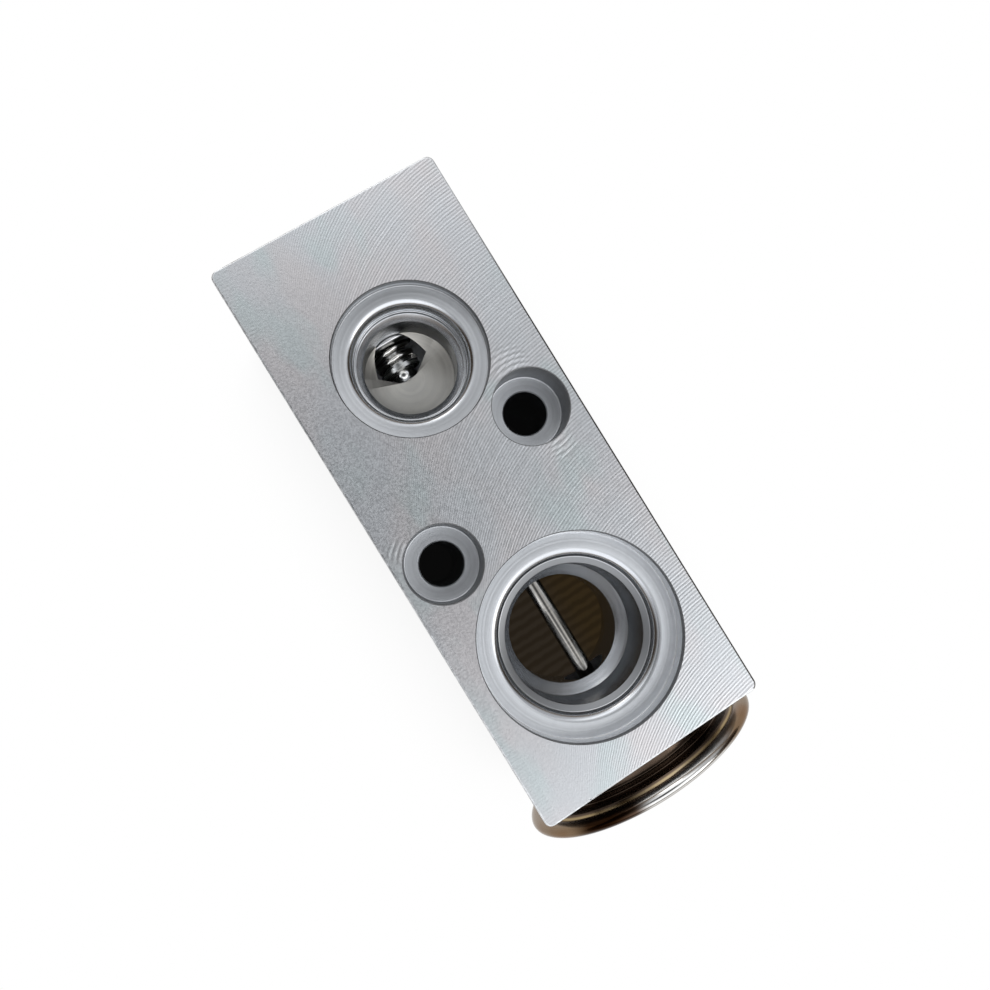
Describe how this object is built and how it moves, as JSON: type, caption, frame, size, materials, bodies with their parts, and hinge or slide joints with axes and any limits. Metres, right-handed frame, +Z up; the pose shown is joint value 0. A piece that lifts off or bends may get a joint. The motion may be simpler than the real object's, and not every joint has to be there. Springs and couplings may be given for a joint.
{
  "type": "block expansion valve",
  "caption": "Block-type expansion valve of a vehicle air conditioner: machined aluminium block with refrigerant ports, diagonal bolt holes and a diaphragm power head.",
  "frame": {"origin": "on the ground plane, under the middle of the bounding box, with the valve lying on its back face and its ports up", "axes": "+Z up, out of the front ports; Y along the valve axis, with the power head at -Y and the adjusting screw at +Y; X across the block"},
  "size_m": [0.0388, 0.0984, 0.0388],
  "materials": {
    "block": "machined",
    "head_steel": "bright stainless",
    "diaphragm_steel": "bright thin sheet",
    "plate": "turned",
    "rod_steel": "ground and polished",
    "ball_steel": "polished",
    "holder_steel": "turned",
    "spring_steel": "drawn wire",
    "screw_metal": "turned",
    "seal_rubber": "smooth dark green",
    "retainer_metal": "stamped"
  },
  "bodies": {
    "body": {"valve_body": "block", "lower_housing": "head_steel", "head_cover": "head_steel", "charge_plug": "head_steel", "head_seal": "seal_rubber", "rod_seal": "seal_rubber", "seal_retainer": "retainer_metal", "diaphragm": "diaphragm_steel", "valve_spring": "spring_steel"},
    "needle": {"push_plate": "plate", "operating_rod": "rod_steel", "valve_ball": "ball_steel", "ball_holder": "holder_steel"},
    "screw_travel": {"screw_seal": "seal_rubber"},
    "screw": {"adjusting_screw": "screw_metal"}
  },
  "joints": [
    {"name": "valve_lift", "type": "slide", "parent": "body", "child": "needle", "axis": [0, 1, 0], "range_m": [0, 0.0009], "stiffness_N_per_m": 6700, "springref_m": -0.002, "deforming": ["valve_spring", "diaphragm"]},
    {"name": "screw_advance", "type": "slide", "parent": "body", "child": "screw_travel", "axis": [0, -1, 0], "range_m": [-0.00101, 0.00101], "deforming": ["valve_spring"]},
    {"name": "screw_turn", "type": "hinge", "parent": "screw_travel", "child": "screw", "pos_m": [0, 0.04785, 0.0194], "axis": [0, -1, 0], "range_deg": [-360, 360], "deforming": ["valve_spring"]}
  ],
  "couplings": [
    {"joint": "screw_advance", "follows": "screw_turn", "m_per_rad": 0.00015915}
  ]
}
